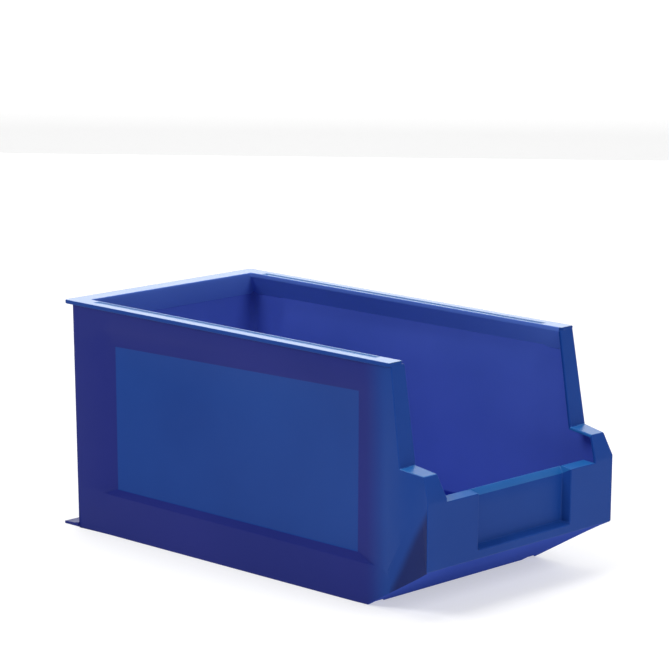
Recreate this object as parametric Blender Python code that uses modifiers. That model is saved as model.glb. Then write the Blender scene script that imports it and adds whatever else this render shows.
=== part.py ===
"""An open-front stackable storage bin: one thin-walled plastic moulding, given as its regions.

Metres, +Z up. The bin rests on z = 0, its open front faces -Y and its length lies along Y.
The origin is the middle of the box round the bin, at the bottom.
"""

import bpy
import bmesh
from mathutils import Vector

BIN_NAME = "storage_bin"

# The box round the bin.
HEIGHT = 0.180
FRONT_Y = -0.1924
REAR_Y = 0.1924

# Sheet thicknesses, and the gap left between neighbouring regions.
WALL = 0.0025
FLANGE = 0.003
GAP = 0.0003

# Base and walls. The side walls lean outwards towards the rim.
BASE_HALF_WIDTH = 0.0941
SIDE_LEAN = 0.0061 / 0.175
BASE_FRONT_Y = -0.1289
FOOT_HEIGHT = 0.0037
REAR_WALL_Y = 0.1777
REAR_WALL_TOP_Y = 0.1770
WALL_FRONT_Y = -0.1380

# Stacking rim round the top, and the groove that takes the next bin's foot ribs.
RIM_INNER_HALF_WIDTH = 0.0871
RIM_OUTER_HALF_WIDTH = 0.1017
RIM_FRONT_Y = -0.1528
REAR_RIM_INNER_Y = 0.1686
REAR_RIM_OUTER_Y = 0.1838
GROOVE_HALF_WIDTH = (0.0895, 0.0935)
GROOVE_SLOPE = 0.0007
GROOVE_DEPTH = 0.0014
GROOVE_FRONT_Y = -0.1315
RIM_TIP_RADIUS = 0.0060

# Sunk panel of each side wall: (y, z) corners of its outer and inner edges.
PANEL_DEPTH = 0.0040
PANEL_OUTER = ((0.1440, 0.0330), (-0.1345, 0.0310), (-0.1345, 0.1668), (0.1440, 0.1627))
PANEL_INNER = ((0.1343, 0.0372), (-0.1159, 0.0366), (-0.1202, 0.1548), (0.1319, 0.1492))

# Front posts, the ledges below them and the collar that drops to the front panel.
POST_INNER_X = 0.0858
POST_TOP_X = 0.1002
POST_TOP_Y = -0.1540
LEDGE_OUTER_X = 0.1030
LEDGE_REAR_Y = -0.1657
LEDGE_REAR_Z = 0.1072
LEDGE_FRONT_Y = -0.1856
LEDGE_FRONT_Z = 0.1045
LEDGE_FRONT_X = 0.0999
COLLAR_X = 0.1032
COLLAR_Z = 0.0876

# Front panel, its label recess and the lip along its top.
FRONT_BOTTOM_Z = 0.0376
FRONT_BOTTOM_X = 0.1025
LIP_BASE_Z = 0.0849
LIP_TOP_Z = 0.0865
LIP_HALF_WIDTH = 0.0821
LIP_SLOPE_Y = 0.0014
LIP_DEPTH = 0.0099
LABEL_CENTRE_X = 0.0030
LABEL_HALF_WIDTH = 0.0500
LABEL_BOTTOM_Z = 0.0455
LABEL_DEPTH = 0.0075
LABEL_DRAFT = 0.0015

# Feet under the base.
FOOT_RIB_WIDTH = 0.0060
SKIRT_HALF_WIDTH = 0.0775
SKIRT_DEPTH = 0.0030
FOOT_FLANGE = 0.0020

PLASTIC_BLUE = (0.024, 0.060, 0.260, 1.0)


def clear_scene():
    for obj in list(bpy.data.objects):
        bpy.data.objects.remove(obj, do_unlink=True)


def make_collection():
    collection = bpy.data.collections.new(BIN_NAME)
    bpy.context.scene.collection.children.link(collection)
    return collection


def make_plastic():
    material = bpy.data.materials.new("blue_moulded_plastic")
    material.use_nodes = True
    shader = material.node_tree.nodes["Principled BSDF"]
    shader.inputs["Base Color"].default_value = PLASTIC_BLUE
    shader.inputs["Roughness"].default_value = 0.42
    shader.inputs["Metallic"].default_value = 0.0
    return material


def side_x(z):
    """Half-width of a side wall's outer face at height z."""
    return BASE_HALF_WIDTH + SIDE_LEAN * z


def ramp_z(y):
    """Height of the front ramp's underside at y."""
    return FRONT_BOTTOM_Z * (BASE_FRONT_Y - y) / (BASE_FRONT_Y - FRONT_Y)


def ramp_y(z):
    """The y at which the front ramp's underside is at height z."""
    return BASE_FRONT_Y - (BASE_FRONT_Y - FRONT_Y) * z / FRONT_BOTTOM_Z


def post_y(z):
    """The y of a front post's face at height z."""
    share = (z - LEDGE_REAR_Z) / (HEIGHT - FLANGE - LEDGE_REAR_Z)
    return LEDGE_REAR_Y + (POST_TOP_Y - LEDGE_REAR_Y) * share


def post_x(z):
    """Outer half-width of a front post at height z."""
    share = (z - LEDGE_REAR_Z) / (HEIGHT - FLANGE - LEDGE_REAR_Z)
    return LEDGE_OUTER_X + (POST_TOP_X - LEDGE_OUTER_X) * share


def add_piece(name, bm):
    """Makes one node from a bmesh, in the bin's collection and material."""
    mesh = bpy.data.meshes.new(name)
    bm.to_mesh(mesh)
    bm.free()
    mesh.materials.append(plastic)
    piece = bpy.data.objects.new(name, mesh)
    bin_collection.objects.link(piece)
    return piece


def add_box(name, low, high):
    """A cube primitive stretched between two corners."""
    bm = bmesh.new()
    bmesh.ops.create_cube(bm, size=1.0)
    size = Vector(high) - Vector(low)
    bmesh.ops.scale(bm, vec=size, verts=bm.verts)
    bmesh.ops.translate(bm, vec=(Vector(high) + Vector(low)) / 2, verts=bm.verts)
    return add_piece(name, bm)


def add_loft(name, sections):
    """A solid through closed sections that have the same number of points."""
    bm = bmesh.new()
    rings = [[bm.verts.new(point) for point in section] for section in sections]
    for ring, following in zip(rings, rings[1:]):
        for i in range(len(ring)):
            j = (i + 1) % len(ring)
            bm.faces.new((ring[i], ring[j], following[j], following[i]))
    bm.faces.new(reversed(rings[0]))
    bm.faces.new(rings[-1])
    bmesh.ops.recalc_face_normals(bm, faces=bm.faces)
    return add_piece(name, bm)


def add_sheet(name, bm, inside):
    """Gives a sheet of faces the wall thickness, on the side that faces the point inside."""
    bm.normal_update()
    facing = sum(face.normal.dot(face.calc_center_median() - Vector(inside)) for face in bm.faces)
    if facing < 0:
        bmesh.ops.reverse_faces(bm, faces=bm.faces)
    sheet = add_piece(name, bm)
    thicken = sheet.modifiers.new("wall_thickness", "SOLIDIFY")
    thicken.thickness = WALL
    thicken.offset = -1.0
    thicken.use_even_offset = True
    return sheet


def add_grid_sheet(name, rows, inside):
    """A sheet through rows of points."""
    bm = bmesh.new()
    grid = [[bm.verts.new(point) for point in row] for row in rows]
    for row, above in zip(grid, grid[1:]):
        for i in range(len(row) - 1):
            bm.faces.new((row[i], row[i + 1], above[i + 1], above[i]))
    return add_sheet(name, bm, inside)


def add_ringed_sheet(name, rings, inside):
    """A sheet of rings, each inside the one before it, whose last ring is closed with one face."""
    bm = bmesh.new()
    loops = [[bm.verts.new(point) for point in ring] for ring in rings]
    for loop, smaller in zip(loops, loops[1:]):
        for i in range(len(loop)):
            j = (i + 1) % len(loop)
            bm.faces.new((loop[i], loop[j], smaller[j], smaller[i]))
    bm.faces.new(loops[-1])
    return add_sheet(name, bm, inside)


def add_floor():
    half_width = side_x(FOOT_HEIGHT) - WALL - GAP
    front = ramp_y(FOOT_HEIGHT) + WALL / 2 + GAP
    rear = REAR_WALL_Y - WALL - GAP
    add_box("floor_plate", (-half_width, front, FOOT_HEIGHT), (half_width, rear, FOOT_HEIGHT + WALL))


def add_side_wall(side, name):
    """A leaning wall with a sunk panel whose four edges are bevelled."""

    def on_wall(y, z, depth=0.0):
        return (side * (side_x(z) - depth), y, z)

    top = HEIGHT - FLANGE - GAP
    front_foot = ramp_z(WALL_FRONT_Y)
    edge = (
        (REAR_WALL_Y, FOOT_HEIGHT),
        (WALL_FRONT_Y, front_foot),
        (WALL_FRONT_Y, top),
        (REAR_WALL_TOP_Y, top),
    )
    rings = [
        [on_wall(y, z) for y, z in edge],
        [on_wall(y, z) for y, z in PANEL_OUTER],
        [on_wall(y, z, PANEL_DEPTH) for y, z in PANEL_INNER],
    ]
    add_ringed_sheet(name, rings, (0, 0, HEIGHT / 2))


def add_rear_wall():
    top = HEIGHT - FLANGE - GAP
    rows = []
    for y, z in ((REAR_WALL_Y, FOOT_HEIGHT), (REAR_WALL_TOP_Y, top)):
        half_width = side_x(z) - WALL - GAP
        rows.append([(-half_width, y, z), (half_width, y, z)])
    add_grid_sheet("rear_wall", rows, (0, 0, HEIGHT / 2))


def add_front_panel():
    """The low front, with a label recess that is open along its top."""
    recess = LABEL_HALF_WIDTH + LABEL_DRAFT
    offsets = (-recess, -LABEL_HALF_WIDTH, LABEL_HALF_WIDTH, recess)
    heights = (FRONT_BOTTOM_Z, LABEL_BOTTOM_Z - LABEL_DRAFT, LABEL_BOTTOM_Z, LIP_BASE_Z - GAP)
    rows = []
    for z in heights:
        half_width = FRONT_BOTTOM_X
        row = [(-half_width, FRONT_Y, z)]
        for offset in offsets:
            sunk = abs(offset) <= LABEL_HALF_WIDTH and z >= LABEL_BOTTOM_Z
            row.append((LABEL_CENTRE_X + offset, FRONT_Y + (LABEL_DEPTH if sunk else 0.0), z))
        row.append((half_width, FRONT_Y, z))
        rows.append(row)
    add_grid_sheet("front_panel", rows, (0, 0, HEIGHT / 2))


def add_front_lip():
    """The bevelled edge on top of the front panel, set back where it crosses the label recess."""
    recess = LABEL_HALF_WIDTH + LABEL_DRAFT
    stations = (
        (-LIP_HALF_WIDTH, 0.0),
        (LABEL_CENTRE_X - recess, 0.0),
        (LABEL_CENTRE_X - LABEL_HALF_WIDTH, LABEL_DEPTH),
        (LABEL_CENTRE_X + LABEL_HALF_WIDTH, LABEL_DEPTH),
        (LABEL_CENTRE_X + recess, 0.0),
        (LIP_HALF_WIDTH, 0.0),
    )
    sections = []
    back = FRONT_Y + LIP_DEPTH
    for x, set_back in stations:
        front = FRONT_Y + set_back
        sections.append(
            [
                (x, front, LIP_BASE_Z),
                (x, front + LIP_SLOPE_Y, LIP_TOP_Z),
                (x, back, LIP_TOP_Z),
                (x, back, LIP_BASE_Z),
            ]
        )
    add_loft("front_lip", sections)


def add_front_ramp():
    """The sloping underside that joins the floor to the front panel."""
    start = ramp_y(FOOT_HEIGHT)
    end = FRONT_Y + WALL + GAP
    rows = []
    for y in (start, end):
        half_width = BASE_HALF_WIDTH - WALL - 3 * GAP
        rows.append([(-half_width, y, ramp_z(y)), (half_width, y, ramp_z(y))])
    add_grid_sheet("front_ramp", rows, (0, 0, HEIGHT / 2))


def add_cheek(side, name):
    """The side's lower front corner: it flares out from the base to the full width of the front."""
    rear = WALL_FRONT_Y - GAP
    middle = (rear + LEDGE_REAR_Y) / 2
    behind_panel = FRONT_Y + WALL + 4 * GAP
    base = BASE_HALF_WIDTH
    collar_foot = LIP_BASE_Z + GAP
    columns = (
        (
            (side_x(0.006), rear, ramp_z(rear)),
            (side_x(0.024), rear, 0.024),
            (side_x(0.060), rear, 0.060),
            (side_x(0.085), rear, 0.085),
            (side_x(LEDGE_REAR_Z), rear, LEDGE_REAR_Z),
        ),
        (
            (base, middle, ramp_z(middle)),
            (base + 0.0042, middle, 0.031),
            (base + 0.0059, middle, 0.066),
            (base + 0.0062, middle, 0.085),
            (base + 0.0065, middle, LEDGE_REAR_Z),
        ),
        (
            (base, LEDGE_REAR_Y, ramp_z(LEDGE_REAR_Y)),
            (base + 0.0071, LEDGE_REAR_Y, 0.048),
            (base + 0.0083, LEDGE_REAR_Y, 0.075),
            (base + 0.0085, LEDGE_REAR_Y, 0.085),
            (LEDGE_OUTER_X, LEDGE_REAR_Y, LEDGE_REAR_Z),
        ),
        (
            (base + 0.0024, LEDGE_FRONT_Y, ramp_z(LEDGE_FRONT_Y)),
            (FRONT_BOTTOM_X, LEDGE_FRONT_Y, 0.072),
            (FRONT_BOTTOM_X, LEDGE_FRONT_Y, 0.080),
            (FRONT_BOTTOM_X, LEDGE_FRONT_Y, 0.085),
            (LEDGE_FRONT_X, LEDGE_FRONT_Y, LEDGE_FRONT_Z),
        ),
        (
            (base + 0.0060, behind_panel, ramp_z(behind_panel)),
            (FRONT_BOTTOM_X, behind_panel, 0.074),
            (FRONT_BOTTOM_X, behind_panel, 0.080),
            (COLLAR_X, behind_panel, collar_foot),
            (COLLAR_X, FRONT_Y + 2 * GAP, COLLAR_Z),
        ),
    )
    rows = [[(side * x, y, z) for x, y, z in column] for column in columns]
    add_grid_sheet(name, rows, (0, LEDGE_REAR_Y, LEDGE_REAR_Z / 2))


def add_ledge(side, name):
    """The ledge in front of a post, and the collar that drops from it to the front panel."""
    within_cheek = WALL + 3 * GAP
    lip_end = LIP_HALF_WIDTH + GAP
    rows = (
        ((LEDGE_FRONT_X - within_cheek, POST_INNER_X), LEDGE_REAR_Y + FLANGE, LEDGE_REAR_Z),
        ((LEDGE_OUTER_X - within_cheek, POST_INNER_X), LEDGE_REAR_Y, LEDGE_REAR_Z),
        ((LEDGE_FRONT_X - within_cheek, POST_INNER_X), LEDGE_FRONT_Y, LEDGE_FRONT_Z),
        ((COLLAR_X - within_cheek, lip_end), FRONT_Y, COLLAR_Z),
        ((COLLAR_X - within_cheek, lip_end), FRONT_Y, LIP_BASE_Z),
    )
    grid = [[(side * x, y, z) for x in reach] for reach, y, z in rows]
    add_grid_sheet(name, grid, (side * POST_INNER_X, LEDGE_REAR_Y, LIP_BASE_Z / 2))


def add_post(side, name):
    """The upright beside the open front: the end of the side wall, turned inwards as a flange."""
    sections = []
    for z in (LEDGE_REAR_Z + GAP, HEIGHT - FLANGE - GAP):
        front = post_y(z)
        outer = post_x(z)
        rear = WALL_FRONT_Y - GAP
        outline = (
            (side_x(z), rear),
            (outer, front),
            (POST_INNER_X, front),
            (POST_INNER_X, front + FLANGE),
            (outer - WALL, front + FLANGE),
            (side_x(z) - WALL, rear),
        )
        sections.append([(side * x, y, z) for x, y in outline])
    add_loft(name, sections)


def add_rim_rail(side, name):
    """One side of the rim: a flange with a groove along its top and a rounded front tip."""
    low, high = GROOVE_HALF_WIDTH
    under = HEIGHT - FLANGE
    tip = RIM_TIP_RADIUS
    stations = (
        (RIM_FRONT_Y, 0.6 * tip, 0.0),
        (RIM_FRONT_Y + 0.2 * tip, 0.25 * tip, 0.0),
        (RIM_FRONT_Y + tip, 0.0, 0.0),
        (GROOVE_FRONT_Y, 0.0, 0.0),
        (GROOVE_FRONT_Y + GROOVE_DEPTH, 0.0, GROOVE_DEPTH),
        (REAR_RIM_INNER_Y - GAP, 0.0, GROOVE_DEPTH),
    )
    sections = []
    for y, inset, sunk in stations:
        outline = (
            (RIM_INNER_HALF_WIDTH + inset, under),
            (RIM_OUTER_HALF_WIDTH - inset, under),
            (RIM_OUTER_HALF_WIDTH - inset, HEIGHT),
            (high + GROOVE_SLOPE, HEIGHT),
            (high, HEIGHT - sunk),
            (low, HEIGHT - sunk),
            (low - GROOVE_SLOPE, HEIGHT),
            (RIM_INNER_HALF_WIDTH + inset, HEIGHT),
        )
        sections.append([(side * x, y, z) for x, z in outline])
    add_loft(name, sections)


def add_rear_rim():
    low = (-RIM_OUTER_HALF_WIDTH, REAR_RIM_INNER_Y, HEIGHT - FLANGE)
    add_box("rear_rim", low, (RIM_OUTER_HALF_WIDTH, REAR_RIM_OUTER_Y, HEIGHT))


def add_foot_rib(side, name):
    """The runner along one side of the base, cut off in front along the ramp's slope."""
    top = FOOT_HEIGHT - GAP
    rear = REAR_WALL_Y - WALL - GAP
    profile = ((rear, 0.0), (BASE_FRONT_Y, 0.0), (ramp_y(top), top), (rear, top))
    reach = (side * (BASE_HALF_WIDTH - FOOT_RIB_WIDTH), side * BASE_HALF_WIDTH)
    add_loft(name, [[(x, y, z) for y, z in profile] for x in reach])


def add_front_skirt():
    """The front foot: it stops short of the runners, which leaves a notch near each corner."""
    top = FOOT_HEIGHT - GAP
    rear = BASE_FRONT_Y + SKIRT_DEPTH
    profile = ((rear, 0.0), (BASE_FRONT_Y, 0.0), (ramp_y(top), top), (rear, top))
    reach = (-SKIRT_HALF_WIDTH, SKIRT_HALF_WIDTH)
    add_loft("front_foot_skirt", [[(x, y, z) for y, z in profile] for x in reach])


def add_rear_foot():
    """The rear foot, with a thin flange that stands out behind the rear wall."""
    top = FOOT_HEIGHT - GAP
    inner = REAR_WALL_Y - WALL
    outer = REAR_WALL_Y + WALL
    profile = (
        (inner, 0.0),
        (REAR_Y, 0.0),
        (REAR_Y, FOOT_FLANGE),
        (outer, FOOT_FLANGE),
        (REAR_WALL_Y, top),
        (inner, top),
    )
    reach = (-BASE_HALF_WIDTH, BASE_HALF_WIDTH)
    add_loft("rear_foot_flange", [[(x, y, z) for y, z in profile] for x in reach])


clear_scene()
bin_collection = make_collection()
plastic = make_plastic()

add_floor()
add_rear_wall()
add_front_panel()
add_front_lip()
add_front_ramp()
add_rear_rim()
add_front_skirt()
add_rear_foot()
for side, hand in ((-1, "left"), (1, "right")):
    add_side_wall(side, f"{hand}_side_wall")
    add_cheek(side, f"{hand}_front_cheek")
    add_ledge(side, f"{hand}_front_ledge")
    add_post(side, f"{hand}_front_post")
    add_rim_rail(side, f"{hand}_rim_rail")
    add_foot_rib(side, f"{hand}_foot_rib")
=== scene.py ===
"""A blue open-front storage bin: one moulded shell, its stacking rim, its floor and its rear foot.

Metres, +Z up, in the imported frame: the bin stands on z = 0 and its open front faces -Y.
"""

import math

import bmesh
import bpy
from mathutils import Matrix, Vector


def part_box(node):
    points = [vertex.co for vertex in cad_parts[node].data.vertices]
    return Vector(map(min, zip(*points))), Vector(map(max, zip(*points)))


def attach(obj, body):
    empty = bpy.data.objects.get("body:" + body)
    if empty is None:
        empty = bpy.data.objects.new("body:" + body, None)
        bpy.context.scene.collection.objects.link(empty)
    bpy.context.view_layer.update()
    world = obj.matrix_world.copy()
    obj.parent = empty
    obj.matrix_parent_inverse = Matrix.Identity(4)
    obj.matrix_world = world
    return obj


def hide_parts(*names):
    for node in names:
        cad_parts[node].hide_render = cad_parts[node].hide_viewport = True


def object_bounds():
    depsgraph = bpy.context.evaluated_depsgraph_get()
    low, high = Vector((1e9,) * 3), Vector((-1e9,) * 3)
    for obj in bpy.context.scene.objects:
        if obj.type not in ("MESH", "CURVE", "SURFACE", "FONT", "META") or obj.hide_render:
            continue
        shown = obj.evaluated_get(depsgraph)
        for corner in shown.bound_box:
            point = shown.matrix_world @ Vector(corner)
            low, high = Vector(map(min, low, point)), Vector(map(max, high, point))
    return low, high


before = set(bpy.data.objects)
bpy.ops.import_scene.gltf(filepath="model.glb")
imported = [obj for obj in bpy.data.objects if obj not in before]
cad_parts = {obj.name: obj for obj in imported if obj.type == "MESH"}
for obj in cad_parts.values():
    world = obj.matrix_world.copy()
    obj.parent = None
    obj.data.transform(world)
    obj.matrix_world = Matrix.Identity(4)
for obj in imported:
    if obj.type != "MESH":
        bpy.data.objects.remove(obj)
cad_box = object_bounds()

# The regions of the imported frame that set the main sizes.
LOW, HIGH = (Vector(corner) for corner in cad_box)
RIM_LOW, RIM_HIGH = (Vector(corner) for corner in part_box("right_rim_rail"))
REAR_RIM_LOW, REAR_RIM_HIGH = (Vector(corner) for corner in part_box("rear_rim"))
WALL_HIGH = Vector(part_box("right_side_wall")[1])
POST_LOW = Vector(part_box("right_front_post")[0])
FOOT_HIGH = Vector(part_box("right_foot_rib")[1])
SKIRT_HIGH = Vector(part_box("front_foot_skirt")[1])

HEIGHT = HIGH.z
FRONT_Y = LOW.y
REAR_Y = HIGH.y

# The moulded sheet.
WALL = 0.0025
EDGE_RADIUS = 0.0008
CORNER_RADIUS = 0.0033
CORNER_STEPS = 4
RIM_UNDERSIDE = HEIGHT - 0.0030
WALL_TOP = RIM_UNDERSIDE + 0.0010

# Side walls: they lean outwards with height.
BASE_X = FOOT_HIGH.x
SIDE_LEAN = 0.0061 / 0.175
REAR_WALL_Y = WALL_HIGH.y
REAR_LEAN = 0.0007 / 0.175
BASE_FRONT_Y = -0.1289
FOOT_HEIGHT = 0.0037

# Sunk panel of each side wall.
PANEL_DEPTH = 0.0040
PANEL_REAR_Y = 0.1440
PANEL_REAR_INNER_Y = (0.1343, 0.1319)
PANEL_FRONT_INNER_Y = (-0.1159, -0.1202)
PANEL_FRONT_Y = -0.1345
ROW_Z_REAR = (0.0, 0.016, 0.0330, 0.0372, 0.070, 0.088, 0.1072, 0.130, 0.1492, 0.1627, WALL_TOP)
ROW_Z_FRONT = (0.0, 0.016, 0.0310, 0.0366, 0.070, 0.088, 0.1072, 0.130, 0.1548, 0.1668, WALL_TOP)
SUNK_ROWS = range(3, 9)
LEDGE_ROW = 6

# Places of some columns along one side, and the shell's material slots, the inner face's last.
SUNK_COLUMNS = range(2, 4)
PANEL_COLUMN = 5
FLARED_COLUMN = 7
POST_COLUMN = 8
LEDGE_ROWS = range(len(ROW_Z_FRONT) - 1 - LEDGE_ROW, len(ROW_Z_FRONT) + 1 - LEDGE_ROW)
PLAIN, FRAME, CHEEK, SHEEN, UNDER, INSIDE = range(6)

# Front: ramp, flared cheeks, posts, ledges, collar, panel and lip.
FRONT_BOTTOM_Z = 0.0376
FRONT_BOTTOM_X = 0.1031
LEDGE_REAR = Vector((0.1030, -0.1657, 0.1072))
LEDGE_FRONT = Vector((0.0999, -0.1856, 0.1045))
COLLAR = Vector((HIGH.x, FRONT_Y, 0.0876))
POST_TOP = Vector((0.1002, -0.1540, RIM_UNDERSIDE))
POST_INNER_X = POST_LOW.x
LIP_END_X = 0.0824
LIP_END_DRAFT = 0.0020
LIP_INNER = (-0.1825, 0.0865)
LIP_OUTER_Z = 0.0851
LABEL_LIP_Z = 0.0812
LABEL_X = 0.0500
LABEL_CENTRE = 0.0030
LABEL_DRAFT = 0.0015
LABEL_BOTTOM_Z = 0.0455
LABEL_DEPTH = 0.0075
PANEL_ROWS_Z = (0.058, 0.071)
NOTCH_X = (SKIRT_HIGH.x, 0.0915)
NOTCH_SHARE = (HIGH.x - NOTCH_X[1]) / (HIGH.x - LIP_END_X)
NOTCH_Y = BASE_FRONT_Y + (FRONT_Y - BASE_FRONT_Y) * FOOT_HEIGHT / FRONT_BOTTOM_Z

# Front corner: where the wall runs straight, where it starts to flare, and how far it then spreads.
STRAIGHT_Y = -0.1420
FLARE_FOOT_Y, FLARE_TOP_Y = -0.1530, -0.1500
FLARE_LOWER_POINT = Vector((BASE_X + 0.0004, -0.1510, 0.0200))
FLARE_SPREAD = 0.45
LEDGE_INSET = 0.0006

# Flared cheek: (y, foot's x, x and z of its under edge, x and z of its outer edge).
CHEEK_POST = (LEDGE_REAR.y, BASE_X, (0.0966, 0.0350), (0.1015, 0.0520))
CHEEK_MIDDLE = (-0.1770, 0.0946, (0.0976, 0.0440), (0.1022, 0.0630))
CHEEK_FRONT = (-0.1875, 0.0970, (0.0996, 0.0500), (0.1027, 0.0740))
COLLAR_UNDER_Z, COLLAR_EDGE_Z = 0.0560, 0.0760
COLLAR_EDGE_SHARE = 0.8

# Coves, bevels and smoothing.
COVE_RADIUS = 0.0070
CORNER_COVE_RADIUS = 0.0085
COVE_OVERLAP = 0.0008
COVE_STEPS = 8
SMOOTH_ANGLE = math.radians(28)
BEVEL_SEGMENTS = 3
MERGE_DISTANCE = 0.00002
TOLERANCE = 0.00001

# Camera, lights and studio. A light is (place, target, size, power).
CAMERA_PLACE = Vector((-1.6194, -1.5226, 0.6005))
FORWARD = Vector((0.7163, 0.6708, -0.1923)).normalized()
CAMERA_ROLL = math.radians(0.66)
CAMERA_LENS = 162.25
WORLD_STRENGTH = 0.25
LIGHTS = {
    "overhead": ((0.0, 0.1, 2.20), (0.0, 0.0, 0.05), 1.6, 20.0),
    "left": ((-1.60, 0.20, 1.80), (0.0, 0.0, 0.10), 1.0, 23.0),
    "front": ((0.10, -1.90, 1.50), (0.0, 0.0, 0.10), 1.0, 19.0),
    "behind": ((1.55, 1.45, 0.50), (0.0, 0.0, 0.15), 1.8, 9.0),
}
STUDIO_REACH = 6.0
STUDIO_WALL = 2.5
STUDIO_SWEEP = 1.5
FLOOR_GLOW = 0.50
BACKDROP_GLOW = 0.98
GLOW_RISE = 0.05
STUDIO_TONES = (0.54, 0.57)
SWEEP_STEPS = 12

# Finishes of the one plastic: deeper and brighter blue, specular level, least and most roughness.
FINISHES = {
    "moulded_blue": ((0.006, 0.041, 0.228), (0.009, 0.050, 0.256), 0.10, 0.40, 0.52),
    # Sheen: brighter teal blue, a painted highlight for the ledges' glints and the lip's bright band.
    "moulded_blue_sheen": ((0.010, 0.098, 0.345), (0.016, 0.122, 0.385), 0.30, 0.28, 0.38),
    # Under: lighter blue with no reflection, painted light on the ramp's underside, which faces the
    # floor.
    "moulded_blue_under": ((0.032, 0.062, 0.310), (0.040, 0.074, 0.350), 0.00, 0.60, 0.70),
    # Inside: lighter blue, painted light that lifts the shaded interior to the outside's brightness.
    "moulded_blue_inside": ((0.050, 0.094, 0.440), (0.062, 0.110, 0.500), 0.10, 0.40, 0.52),
    # Soffit: much lighter blue, painted light that cancels the shade under the rim's overhang.
    "moulded_blue_soffit": ((0.078, 0.160, 0.530), (0.092, 0.182, 0.590), 0.10, 0.40, 0.52),
    # Rim: lighter blue base colour as a painted highlight on the top; the higher specular and lower
    # roughness are the real gloss.
    "moulded_blue_rim": ((0.014, 0.115, 0.370), (0.024, 0.145, 0.430), 0.50, 0.26, 0.34),
}

# Noise scales per metre: moulding flow clouds, and the fine texture of the mould.
CLOUD_SCALE = 9.0
GRAIN_SCALE = 900.0
CLOUD_SPAN = (0.30, 0.70)
GRAIN_STRENGTH = 0.10
GRAIN_HEIGHT = 0.0004

# Painted shade zones, darker tints over parts of the surface: (direction, where it is full, where it
# has faded out, tint).
# The side frame strips, rear wall and rear foot: painted shade, darker and more purple than the sunk
# panel, fading out towards the front.
FRAME_ZONE = ((0.0, 1.0, 0.0), -0.126, -0.151, (1.5, 0.42, 0.70))
# Under each cheek's flare: a painted shadow, darker low at the front with a soft slanting border.
UNDER_FLARE_ZONE = ((0.0, 1.59, 1.0), -0.232, -0.219, (0.8, 0.36, 0.46))

# Rim: the groove along each side and its shares of the rear rim's width, the gusset and the tips.
GROOVE_X = (0.0888, 0.0896, 0.0934, 0.0942)
GROOVE_SHARE = (0.80, 0.75, 0.45, 0.40)
GROOVE_DEPTH = 0.0008
GROOVE_SLOPE = 0.0015
GROOVE_FRONT_Y = -0.1315
GROOVE_REAR_MARGIN = 0.0105
RIM_GUSSET = 0.0160
RIM_FRONT_Y = RIM_LOW.y - 0.0008
RIM_LEAST_CORNER = 0.0015
RIM_TIP = 0.0025
RIM_TIP_STEPS = 4
RIM_CORNER_SHRINK = 0.6
RIM_EDGE_RADIUS = EDGE_RADIUS * 0.8

# Rear foot: how far behind the rear wall its top steps down, and its heights there and at its tip.
FOOT_STEP = 0.0035
FOOT_TIP_Z, FOOT_STEP_Z, FOOT_ROOT_Z = 0.0020, 0.0024, 0.0036
FOOT_EDGE_RADIUS = 0.0004


def mix(a, b, share):
    return a + (b - a) * share


def side_x(z):
    """Half-width of the leaning wall's outer face at height z."""
    return BASE_X + SIDE_LEAN * z


def rear_y(z):
    return REAR_WALL_Y - REAR_LEAN * z


def ramp_z(y):
    """Height of the front ramp's underside at y."""
    return FRONT_BOTTOM_Z * (BASE_FRONT_Y - y) / (BASE_FRONT_Y - FRONT_Y)


def post_point(z):
    """Outer front corner of a post at height z."""
    return LEDGE_REAR.lerp(POST_TOP, (z - LEDGE_REAR.z) / (POST_TOP.z - LEDGE_REAR.z))


def row_z(row, y):
    """Height of a row of the side wall at y: the rows follow the sunk panel's edges."""
    share = (PANEL_REAR_Y - y) / (PANEL_REAR_Y - PANEL_FRONT_Y)
    return mix(ROW_Z_REAR[row], ROW_Z_FRONT[row], min(1.0, max(0.0, share)))


def wall_column(low_y, high_y, depth=0.0):
    """A column of the side wall from its foot to under the rim."""
    column = []
    for row in range(len(ROW_Z_REAR)):
        share = ROW_Z_REAR[row] / HEIGHT
        y = mix(low_y, high_y, share)
        z = row_z(row, y)
        sunk = depth if row in SUNK_ROWS else 0.0
        column.append(Vector((side_x(z) - sunk, y, z)))
    return column


def cheek_column(foot, under, edge, top):
    """A column of the flared corner: from the ramp's edge out to the flare, then up to the ledge."""
    column = [foot, under, edge]
    steps = LEDGE_ROW - 2
    for step in range(1, steps + 1):
        column.append(edge.lerp(top, step / steps))
    return column


def cheek_at(section, top):
    """The column of one of the cheek's sections, which starts on the ramp's edge."""
    y, foot_x, under, edge = section
    foot = Vector((foot_x, y, ramp_z(y)))
    return cheek_column(foot, Vector((under[0], y, under[1])), Vector((edge[0], y, edge[1])), top)


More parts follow.
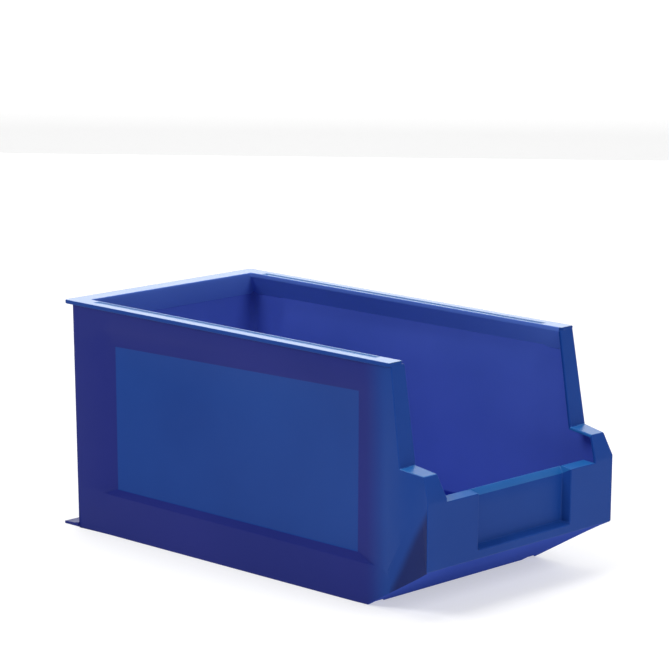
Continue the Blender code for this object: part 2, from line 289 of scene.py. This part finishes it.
def side_columns():
    """All columns of one side, from the rear corner to the front panel's edge."""
    columns = [
        wall_column(REAR_WALL_Y - CORNER_RADIUS, REAR_WALL_Y - CORNER_RADIUS),
        wall_column(PANEL_REAR_Y, PANEL_REAR_Y),
        wall_column(*PANEL_REAR_INNER_Y, PANEL_DEPTH),
        wall_column(0.0, 0.0, PANEL_DEPTH),
        wall_column(*PANEL_FRONT_INNER_Y, PANEL_DEPTH),
        wall_column(PANEL_FRONT_Y, PANEL_FRONT_Y),
    ]
    columns[-1][0].y = BASE_FRONT_Y
    columns[-1][1].y = mix(BASE_FRONT_Y, PANEL_FRONT_Y, 0.4)

    straight = wall_column(STRAIGHT_Y, STRAIGHT_Y)
    straight[0] = Vector((BASE_X, NOTCH_Y, FOOT_HEIGHT))
    columns.append(straight)

    flared = wall_column(FLARE_FOOT_Y, FLARE_TOP_Y)
    flared[0] = Vector((BASE_X, FLARE_TOP_Y, ramp_z(FLARE_TOP_Y)))
    flared[1] = FLARE_LOWER_POINT.copy()
    for row in range(2, len(flared)):
        spread = post_point(flared[row].z).x if row > LEDGE_ROW else LEDGE_REAR.x - LEDGE_INSET
        flared[row].x = mix(flared[row].x, spread, FLARE_SPREAD)
    columns.append(flared)

    post = cheek_at(CHEEK_POST, LEDGE_REAR)
    for row in range(LEDGE_ROW + 1, len(ROW_Z_FRONT)):
        post.append(post_point(ROW_Z_FRONT[row]))
    columns.append(post)

    columns.append(cheek_at(CHEEK_MIDDLE, LEDGE_REAR.lerp(LEDGE_FRONT, 0.5)))
    columns.append(cheek_at(CHEEK_FRONT, LEDGE_FRONT))
    columns.append(
        cheek_column(
            Vector((FRONT_BOTTOM_X, FRONT_Y, FRONT_BOTTOM_Z)),
            Vector((FRONT_BOTTOM_X, FRONT_Y, COLLAR_UNDER_Z)),
            Vector((mix(FRONT_BOTTOM_X, COLLAR.x, COLLAR_EDGE_SHARE), FRONT_Y, COLLAR_EDGE_Z)),
            COLLAR,
        )
    )
    return columns


def front_column(x):
    """A column of the front panel at x, from its bottom edge to the edge of the lip."""
    in_label = abs(x - LABEL_CENTRE) <= LABEL_X + TOLERANCE
    top = LABEL_LIP_Z if in_label else LIP_OUTER_Z
    heights = (FRONT_BOTTOM_Z, LABEL_BOTTOM_Z - LABEL_DRAFT, LABEL_BOTTOM_Z, *PANEL_ROWS_Z, top)
    column = []
    for row, z in enumerate(heights):
        sunk = LABEL_DEPTH if in_label and row >= 2 else 0.0
        column.append(Vector((x, FRONT_Y + sunk, z)))
    return column


def add_face(bm, corners, slot=0):
    verts = []
    for corner in corners:
        verts.append(bm.verts.new(corner))
    bm.faces.new(verts).material_index = slot


def add_patch(bm, columns, skip=lambda i, j: False, mitre=lambda i, j: None, slot=lambda i, j: 0):
    """Faces between neighbouring columns. A mitre says which way a corner face is cut in two."""
    for i, (left, right) in enumerate(zip(columns, columns[1:])):
        for j in range(min(len(left), len(right)) - 1):
            if skip(i, j):
                continue
            corners = [left[j], right[j], right[j + 1], left[j + 1]]
            cut = mitre(i, j)
            if cut is None:
                pieces = [corners]
            elif cut == "rising":
                pieces = [corners[:3], [corners[0], corners[2], corners[3]]]
            else:
                pieces = [[corners[0], corners[1], corners[3]], corners[1:]]
            for piece in pieces:
                add_face(bm, piece, slot(i, j))


def mirrored(columns, side):
    return [[Vector((side * p.x, p.y, p.z)) for p in column] for column in columns]


def panel_mitre(i, j):
    """The four corner faces of a sunk side panel."""
    corners = {(1, 2): "rising", (1, 8): "falling", (4, 2): "falling", (4, 8): "rising"}
    return corners.get((i, j))


def rear_columns():
    """The rear corners and the rear wall, from the right side to the left."""
    rows = range(len(ROW_Z_REAR))
    columns = []
    for side in (1, -1):
        arc = []
        for step in range(CORNER_STEPS + 1):
            angle = math.pi / 2 * step / CORNER_STEPS
            column = []
            for row in rows:
                z = ROW_Z_REAR[row]
                x = side_x(z) - CORNER_RADIUS * (1 - math.cos(angle))
                y = rear_y(z) - CORNER_RADIUS * (1 - math.sin(angle))
                column.append(Vector((side * x, y, z)))
            arc.append(column)
        columns.extend(arc if side == 1 else reversed(arc))
    return columns


def front_columns(columns):
    """The front panel and its lip, from the right edge to the left."""
    edge = columns[-1]
    inner = front_column(LIP_END_X)
    between = [edge[row].lerp(inner[row], NOTCH_SHARE) for row in range(LEDGE_ROW)]
    end = [edge[:LEDGE_ROW], between]
    offsets = (LABEL_X + 2 * LABEL_DRAFT, LABEL_X + LABEL_DRAFT, LABEL_X)
    places = [LIP_END_X, NOTCH_X[0]]
    places += [LABEL_CENTRE + offset for offset in offsets]
    places.append(LABEL_CENTRE)
    places += [LABEL_CENTRE - offset for offset in reversed(offsets)]
    places += [-NOTCH_X[0], -LIP_END_X]
    middle = []
    for x in places:
        column = front_column(x)
        lip_x = math.copysign(min(abs(x), LIP_END_X - LIP_END_DRAFT), x)
        column.append(Vector((lip_x, *LIP_INNER)))
        middle.append(column)
    return end + middle + list(reversed(mirrored(end, -1)))


def ramp_columns(columns, fronts):
    """The sloping underside: its rows follow the cheeks' feet, its columns follow the front panel's."""
    feet = [column[0] for column in columns[PANEL_COLUMN:]]
    ramp = [feet]
    for front in fronts[1:-1]:
        ramp.append([Vector((front[0].x, foot.y, foot.z)) for foot in feet])
    return ramp + mirrored([feet], -1)


def ledge_columns(columns):
    """The post's face, the ledge and the collar: one strip from under the rim to the front panel."""
    outer = list(reversed(columns[POST_COLUMN][LEDGE_ROW:]))
    outer += [column[LEDGE_ROW] for column in columns[POST_COLUMN + 1 :]]
    outer.append(columns[-1][LEDGE_ROW - 1])
    inner = [Vector((POST_INNER_X, point.y, point.z)) for point in outer]
    inner[-2] = Vector((LIP_END_X, FRONT_Y, COLLAR.z))
    inner[-1] = Vector((LIP_END_X, FRONT_Y, LIP_OUTER_Z))
    between = [a.lerp(b, NOTCH_SHARE) for a, b in zip(outer, inner)]
    return [outer, between, inner]


def notched(columns):
    """Whether a face of the ramp lies in one of the two notches of the front skirt."""

    def skip(i, j):
        x = (columns[i][j].x + columns[i + 1][j].x) / 2
        return j == 0 and NOTCH_X[0] < abs(x) < NOTCH_X[1]

    return skip


def link(obj):
    bpy.context.scene.collection.objects.link(obj)
    return obj


def make_object(name, bm, material):
    mesh = bpy.data.meshes.new(name)
    bm.to_mesh(mesh)
    bm.free()
    mesh.materials.append(material)
    mesh.shade_smooth()
    return link(bpy.data.objects.new(name, mesh))


def round_edges(obj, radius):
    bevel = obj.modifiers.new("rounded_edges", "BEVEL")
    bevel.width = radius
    bevel.segments = BEVEL_SEGMENTS
    bevel.limit_method = "ANGLE"
    bevel.angle_limit = SMOOTH_ANGLE
    bevel.use_clamp_overlap = False
    bevel.harden_normals = True


def finish_shape(obj):
    """Applies an object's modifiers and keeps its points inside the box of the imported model."""
    shaped = obj.evaluated_get(bpy.context.evaluated_depsgraph_get())
    mesh = bpy.data.meshes.new_from_object(shaped)
    obj.modifiers.clear()
    obj.data = mesh
    for vert in mesh.vertices:
        vert.co = [min(high, max(low, value)) for value, low, high in zip(vert.co, LOW, HIGH)]


def side_slot(i, j):
    """Material slot of a face of the side: the sunk panel, the frame round it with painted shade, or
    the cheek with a painted shadow under its flare.
    """
    if i in SUNK_COLUMNS and j in SUNK_ROWS[:-1]:
        return PLAIN
    return CHEEK if i >= FLARED_COLUMN else FRAME


def ledge_slot(i, j):
    """Material slot of a face of the strip down the post: its flat ledge takes the sheen finish, a
    painted highlight.
    """
    return SHEEN if j in LEDGE_ROWS else PLAIN


def make_shell(materials):
    """The whole moulded sheet, drawn as its outer face and then given its thickness."""
    bm = bmesh.new()
    side = side_columns()
    for hand in (1, -1):
        add_patch(bm, mirrored(side, hand), mitre=panel_mitre, slot=side_slot)
        add_patch(bm, mirrored(ledge_columns(side), hand), slot=ledge_slot)
    # The rear wall takes the frame finish with its painted shade.
    add_patch(bm, rear_columns(), slot=lambda i, j: FRAME)
    front = front_columns(side)
    # The lip's row takes the sheen finish: a painted highlight.
    add_patch(bm, front, slot=lambda i, j: SHEEN if j == LEDGE_ROW - 1 else PLAIN)
    ramp = ramp_columns(side, front)
    # The ramp's underside takes the under finish: painted light.
    add_patch(bm, ramp, skip=notched(ramp), slot=lambda i, j: UNDER)
    bmesh.ops.remove_doubles(bm, verts=bm.verts, dist=MERGE_DISTANCE)
    bmesh.ops.recalc_face_normals(bm, faces=bm.faces)
    bm.faces.ensure_lookup_table()
    outermost = max(bm.faces, key=lambda face: face.calc_center_median().y)
    if outermost.normal.y < 0:
        bmesh.ops.reverse_faces(bm, faces=bm.faces)
    shell = make_object("moulded_shell", bm, materials[PLAIN])
    for material in materials[1:]:
        shell.data.materials.append(material)
    thickness = shell.modifiers.new("wall_thickness", "SOLIDIFY")
    thickness.thickness = WALL
    thickness.offset = -1.0
    thickness.use_even_offset = True
    thickness.use_quality_normals = True
    # The inner face takes the inside finish, whose lighter blue is painted light.
    thickness.material_offset = INSIDE
    round_edges(shell, EDGE_RADIUS)
    return shell


def rim_profile():
    """The rim's section, as (x at the side, y at the rear, height, how far the groove sinks it)."""
    outer_x, inner_x = RIM_HIGH.x, RIM_LOW.x
    outer_y, inner_y = REAR_RIM_HIGH.y, REAR_RIM_LOW.y
    profile = [(outer_x, outer_y, RIM_UNDERSIDE, 0.0), (outer_x, outer_y, HEIGHT, 0.0)]
    for corner in (3, 2, 1, 0):
        sunk = GROOVE_DEPTH if corner in (1, 2) else 0.0
        profile.append((GROOVE_X[corner], mix(outer_y, inner_y, GROOVE_SHARE[corner]), HEIGHT, sunk))
    foot_z = RIM_UNDERSIDE - RIM_GUSSET
    profile += [
        (inner_x, inner_y, HEIGHT, 0.0),
        (inner_x, inner_y, RIM_UNDERSIDE, 0.0),
        (side_x(foot_z) - WALL, rear_y(foot_z) - WALL, foot_z, 0.0),
        (side_x(HEIGHT) - WALL / 2, rear_y(HEIGHT) - WALL / 2, RIM_UNDERSIDE, 0.0),
    ]
    return profile


def rim_line(x, rear, z, sunk):
    """One line of the rim, from its front tip to the middle of the rear corner's bend."""
    middle_x = (RIM_HIGH.x + RIM_LOW.x) / 2
    half = (RIM_HIGH.x - RIM_LOW.x) / 2
    tip = 0.0 if z < RIM_UNDERSIDE else RIM_TIP
    line = []
    for step in range(RIM_TIP_STEPS + 1):
        angle = math.pi / 2 * step / RIM_TIP_STEPS
        pinch = 1.0 - tip / half * (1.0 - math.sin(angle))
        line.append((mix(middle_x, x, pinch), RIM_FRONT_Y + RIM_TIP * (1.0 - math.cos(angle)), z))
    groove_end = REAR_RIM_LOW.y - GROOVE_REAR_MARGIN
    line.append((x, GROOVE_FRONT_Y - GROOVE_SLOPE, z))
    line.append((x, GROOVE_FRONT_Y, z - sunk))
    line.append((x, groove_end - GROOVE_SLOPE, z - sunk))
    line.append((x, groove_end, z))
    corner = max(RIM_LEAST_CORNER, CORNER_RADIUS - (RIM_HIGH.x - x) * RIM_CORNER_SHRINK)
    for step in range(CORNER_STEPS + 1):
        angle = math.pi / 2 * step / CORNER_STEPS
        line.append((x - corner * (1 - math.cos(angle)), rear - corner * (1 - math.sin(angle)), z))
    return line


def make_rim(materials):
    """The flange round the top, with a groove along each side and rounded front tips.

    Its materials are for its top, whose lighter blue is a painted highlight over its real gloss, its
    outer edges, and its inner edges and gusset, whose lighter blue is painted light against the shade
    under the rim.
    """
    lines = [rim_line(*point) for point in rim_profile()]
    bm = bmesh.new()
    for hand in (1, -1):
        for i in range(len(lines)):
            near, far = lines[i], lines[(i + 1) % len(lines)]
            for j in range(len(near) - 1):
                corners = (near[j], near[j + 1], far[j + 1], far[j])
                add_face(bm, [(hand * x, y, z) for x, y, z in corners])
        add_face(bm, [(hand * line[0][0], line[0][1], line[0][2]) for line in lines])
    for i in range(len(lines)):
        near, far = lines[i][-1], lines[(i + 1) % len(lines)][-1]
        add_face(bm, [near, (-near[0], *near[1:]), (-far[0], *far[1:]), far])
    bmesh.ops.remove_doubles(bm, verts=bm.verts, dist=MERGE_DISTANCE)
    bmesh.ops.recalc_face_normals(bm, faces=bm.faces)
    for face in bm.faces:
        middle = face.calc_center_median()
        beyond_wall = abs(middle.x) > side_x(HEIGHT)
        outside = beyond_wall or not RIM_FRONT_Y + RIM_TIP < middle.y < REAR_WALL_Y
        # Through their finishes, slot 0 (the top) carries a painted highlight and slot 2 (inner edges
        # and gusset) carries painted light.
        face.material_index = 0 if face.normal.z > 0.5 else (1 if outside else 2)
    rim = make_object("stacking_rim", bm, materials[0])
    for material in materials[1:]:
        rim.data.materials.append(material)
    round_edges(rim, RIM_EDGE_RADIUS)
    return rim


def make_loft(name, rings, material):
    """A closed piece between two rings that have the same number of points."""
    bm = bmesh.new()
    rings = [[bm.verts.new(point) for point in ring] for ring in rings]
    count = len(rings[0])
    for i in range(count):
        j = (i + 1) % count
        bm.faces.new((rings[0][i], rings[0][j], rings[1][j], rings[1][i]))
    bm.faces.new(reversed(rings[0]))
    bm.faces.new(rings[1])
    bmesh.ops.recalc_face_normals(bm, faces=bm.faces)
    piece = make_object(name, bm, material)
    piece.data.set_sharp_from_angle(angle=SMOOTH_ANGLE)
    return piece


def make_prism(name, profile, span, axis, material):
    """A profile of (across, z) points carried along X or Y between the two ends of its span."""
    rings = []
    for end in span:
        rings.append([(end, across, z) if axis == "X" else (across, end, z) for across, z in profile])
    return make_loft(name, rings, material)


def make_floor(material):
    """The floor of the bin, with a cove where it meets each side wall."""
    top = FOOT_HEIGHT + WALL
    half = side_x(top) - WALL + COVE_OVERLAP
    arc = []
    for step in range(COVE_STEPS + 1):
        angle = math.pi / 2 * step / COVE_STEPS
        x = half - COVE_RADIUS * (1 - math.cos(angle))
        arc.append((x, top + COVE_RADIUS * (1 - math.sin(angle))))
    profile = [(-half, FOOT_HEIGHT), (half, FOOT_HEIGHT)]
    profile += arc
    profile += [(-x, z) for x, z in reversed(arc)]
    span = (NOTCH_Y, REAR_WALL_Y - WALL / 2)
    return make_prism("floor_pan", profile, span, "Y", material)


def make_rear_cove(material):
    """The cove where the floor meets the rear wall."""
    top = FOOT_HEIGHT + WALL
    rear = rear_y(top) - WALL + COVE_OVERLAP
    profile = [(rear, top - 0.0010)]
    for step in range(COVE_STEPS + 1):
        angle = math.pi / 2 * step / COVE_STEPS
        y = rear - COVE_RADIUS * (1 - math.cos(angle))
        profile.append((y, top + COVE_RADIUS * (1 - math.sin(angle))))
    profile.append((rear - COVE_RADIUS, top - 0.0010))
    half = side_x(top) - WALL
    return make_prism("rear_cove", profile, (-half, half), "X", material)


def make_corner_cove(hand, name, material):
    """The wide cove down an inner rear corner, from the floor to the rim."""
    rings = []
    for z in (FOOT_HEIGHT + WALL, RIM_UNDERSIDE):
        corner = Vector((side_x(z) - WALL + COVE_OVERLAP, rear_y(z) - WALL + COVE_OVERLAP, z))
        ring = [corner]
        for step in range(COVE_STEPS + 1):
            angle = math.pi / 2 * step / COVE_STEPS
            back = CORNER_COVE_RADIUS * (1 - math.sin(angle))
            inwards = CORNER_COVE_RADIUS * (1 - math.cos(angle))
            ring.append(corner - Vector((inwards, back, 0)))
        rings.append([Vector((hand * point.x, point.y, point.z)) for point in ring])
    return make_loft(name, rings, material)


def make_rear_foot(material):
    """The thin flange that stands out behind the rear wall at floor level."""
    inner = REAR_WALL_Y - WALL / 2
    profile = [
        (inner, 0.0),
        (REAR_Y, 0.0),
        (REAR_Y, FOOT_TIP_Z),
        (REAR_WALL_Y + FOOT_STEP, FOOT_STEP_Z),
        (inner, FOOT_ROOT_Z),
    ]
    foot = make_prism("rear_foot", profile, (-BASE_X, BASE_X), "X", material)
    round_edges(foot, FOOT_EDGE_RADIUS)
    return foot


def node(tree, kind, **settings):
    made = tree.nodes.new(kind)
    for name, value in settings.items():
        setattr(made, name, value)
    return made


def add_noise(tree, scale, detail):
    """A noise over the piece's own coordinates."""
    place = node(tree, "ShaderNodeTexCoord")
    noise = node(tree, "ShaderNodeTexNoise")
    noise.inputs["Scale"].default_value = scale
    noise.inputs["Detail"].default_value = detail
    tree.links.new(place.outputs["Object"], noise.inputs["Vector"])
    return noise.outputs["Fac"]


def add_zone(tree, colour, zone):
    """Darkens the colour over one zone of the piece, with a soft border: painted shade."""
    direction, full, faded, tint = zone
    place = node(tree, "ShaderNodeTexCoord")
    along = node(tree, "ShaderNodeVectorMath", operation="DOT_PRODUCT")
    along.inputs[1].default_value = direction
    tree.links.new(place.outputs["Object"], along.inputs[0])
    share = node(tree, "ShaderNodeMapRange", interpolation_type="SMOOTHSTEP")
    share.inputs["From Min"].default_value = faded
    share.inputs["From Max"].default_value = full
    tree.links.new(along.outputs["Value"], share.inputs["Value"])
    deepen = node(tree, "ShaderNodeMixRGB", blend_type="MULTIPLY")
    deepen.inputs["Color2"].default_value = (*tint, 1.0)
    tree.links.new(share.outputs["Result"], deepen.inputs["Fac"])
    tree.links.new(colour, deepen.inputs["Color1"])
    return deepen.outputs["Color"]


def make_plastic(finish, name=None, zone=None):
    """Satin injection-moulded polypropylene: fine spark texture and faint flow marks; some finishes and
    zones carry painted highlight, painted light or painted shade.
    """
    deep, bright, specular, least_rough, most_rough = FINISHES[finish]
    material = bpy.data.materials.new(name or finish)
    material.use_nodes = True
    tree = material.node_tree
    links = tree.links
    shader = tree.nodes["Principled BSDF"]
    shader.inputs["Specular IOR Level"].default_value = specular

    cloud = add_noise(tree, CLOUD_SCALE, 3.0)
    tones = node(tree, "ShaderNodeValToRGB")
    low, high = tones.color_ramp.elements
    low.position, high.position = CLOUD_SPAN
    low.color, high.color = (*deep, 1.0), (*bright, 1.0)
    links.new(cloud, tones.inputs["Fac"])
    colour = tones.outputs["Color"]
    if zone:
        colour = add_zone(tree, colour, zone)
    links.new(colour, shader.inputs["Base Color"])

    rough = node(tree, "ShaderNodeMapRange")
    rough.inputs["To Min"].default_value = least_rough
    rough.inputs["To Max"].default_value = most_rough
    links.new(cloud, rough.inputs["Value"])
    links.new(rough.outputs["Result"], shader.inputs["Roughness"])

    bump = node(tree, "ShaderNodeBump")
    bump.inputs["Strength"].default_value = GRAIN_STRENGTH
    bump.inputs["Distance"].default_value = GRAIN_HEIGHT
    links.new(add_noise(tree, GRAIN_SCALE, 2.0), bump.inputs["Height"])
    links.new(bump.outputs["Normal"], shader.inputs["Normal"])
    return material


def make_studio():
    """A pale floor that sweeps up into a bright backdrop behind the bin."""
    material = bpy.data.materials.new("studio_white")
    material.use_nodes = True
    tree = material.node_tree
    shader = tree.nodes["Principled BSDF"]
    shader.inputs["Emission Color"].default_value = (1.0, 1.0, 1.0, 1.0)
    place = node(tree, "ShaderNodeTexCoord")
    height = node(tree, "ShaderNodeSeparateXYZ")
    glow = node(tree, "ShaderNodeMapRange")
    glow.inputs["From Max"].default_value = GLOW_RISE
    glow.inputs["To Min"].default_value = FLOOR_GLOW
    glow.inputs["To Max"].default_value = BACKDROP_GLOW
    tree.links.new(place.outputs["Object"], height.inputs["Vector"])
    tree.links.new(height.outputs["Z"], glow.inputs["Value"])
    tree.links.new(glow.outputs["Result"], shader.inputs["Emission Strength"])
    shader.inputs["Roughness"].default_value = 0.9
    shader.inputs["Specular IOR Level"].default_value = 0.0
    tint = node(tree, "ShaderNodeTexNoise")
    tint.inputs["Scale"].default_value = 0.8
    ramp = node(tree, "ShaderNodeValToRGB")
    for element, tone in zip(ramp.color_ramp.elements, STUDIO_TONES):
        element.color = (tone, tone, tone, 1.0)
    tree.links.new(tint.outputs["Fac"], ramp.inputs["Fac"])
    tree.links.new(ramp.outputs["Color"], shader.inputs["Base Color"])

    bm = bmesh.new()
    across = Vector((FORWARD.y, -FORWARD.x, 0)).normalized()
    away = Vector((FORWARD.x, FORWARD.y, 0)).normalized()
    profile = [(-STUDIO_REACH, 0.0), (STUDIO_WALL, 0.0)]
    for step in range(1, SWEEP_STEPS + 1):
        angle = math.pi / 2 * step / SWEEP_STEPS
        out, up = STUDIO_SWEEP * math.sin(angle), STUDIO_SWEEP * (1 - math.cos(angle))
        profile.append((STUDIO_WALL + out, up))
    profile.append((STUDIO_WALL + STUDIO_SWEEP, STUDIO_REACH))
    lines = []
    for side in (-1, 1):
        edge = side * STUDIO_REACH * across
        lines.append([bm.verts.new(edge + u * away + Vector((0, 0, z))) for u, z in profile])
    for i in range(len(profile) - 1):
        bm.faces.new((lines[0][i], lines[1][i], lines[1][i + 1], lines[0][i + 1]))
    bmesh.ops.recalc_face_normals(bm, faces=bm.faces)
    studio = make_object("studio_floor", bm, material)
    return studio


def make_camera():
    """The camera, rolled very slightly about its line of sight."""
    right = FORWARD.cross(Vector((0, 0, 1))).normalized()
    up = right.cross(FORWARD)
    level, lifted = math.cos(CAMERA_ROLL), math.sin(CAMERA_ROLL)
    rolled_right = level * right + lifted * up
    rolled_up = level * up - lifted * right
    turn = Matrix((rolled_right, rolled_up, -FORWARD)).transposed().to_4x4()
    data = bpy.data.cameras.new("camera")
    data.sensor_width = 36.0
    data.lens = CAMERA_LENS
    data.clip_end = 50.0
    camera = link(bpy.data.objects.new("camera", data))
    camera.matrix_world = Matrix.Translation(CAMERA_PLACE) @ turn
    bpy.context.scene.camera = camera


def make_area(name, place, target, size, power):
    data = bpy.data.lights.new(name, "AREA")
    data.shape = "DISK"
    data.size = size
    data.energy = power
    light = link(bpy.data.objects.new(name, data))
    light.location = place
    light.rotation_euler = (Vector(target) - Vector(place)).to_track_quat("-Z", "Y").to_euler()
    light.visible_camera = False


def make_lights():
    world = bpy.data.worlds.new("studio_light")
    world.use_nodes = True
    background = world.node_tree.nodes["Background"]
    background.inputs["Color"].default_value = (1.0, 1.0, 1.0, 1.0)
    background.inputs["Strength"].default_value = WORLD_STRENGTH
    bpy.context.scene.world = world
    for name, (place, target, size, power) in LIGHTS.items():
        make_area(name, place, target, size, power)


def main():
    plain = make_plastic("moulded_blue")
    # Painted shade on the side frames, the rear wall and the rear foot.
    framed = make_plastic("moulded_blue", "moulded_blue_frame", FRAME_ZONE)
    # Painted shadow under the flare of each front cheek.
    cheek = make_plastic("moulded_blue", "moulded_blue_cheek", UNDER_FLARE_ZONE)
    # Painted highlight on the ledges and the lip.
    sheen = make_plastic("moulded_blue_sheen")
    # Painted light on the ramp's underside.
    under = make_plastic("moulded_blue_under")
    # Painted light on the interior faces, the floor and the coves.
    inside = make_plastic("moulded_blue_inside")
    # Painted highlight on the rim's top.
    rim_top = make_plastic("moulded_blue_rim")
    # Painted light on the rim's inner edges and gusset.
    soffit = make_plastic("moulded_blue_soffit")
    pieces = [
        make_shell([plain, framed, cheek, sheen, under, inside]),
        make_rim([rim_top, plain, soffit]),
        make_floor(inside),
        make_rear_foot(framed),
        make_rear_cove(inside),
        make_corner_cove(1, "right_corner_cove", inside),
        make_corner_cove(-1, "left_corner_cove", inside),
    ]
    for piece in pieces:
        finish_shape(piece)
        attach(piece, "root")
    shell_nodes = ["rear_wall", "front_panel", "front_lip", "front_ramp"]
    for hand in ("left", "right"):
        for part in ("side_wall", "front_cheek", "front_ledge", "front_post", "foot_rib"):
            shell_nodes.append(f"{hand}_{part}")
    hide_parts(*shell_nodes, "front_foot_skirt")
    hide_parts("left_rim_rail", "right_rim_rail", "rear_rim")
    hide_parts("floor_plate")
    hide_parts("rear_foot_flange")
    make_studio()
    make_camera()
    make_lights()
    bpy.context.scene.view_settings.view_transform = "Standard"


main()
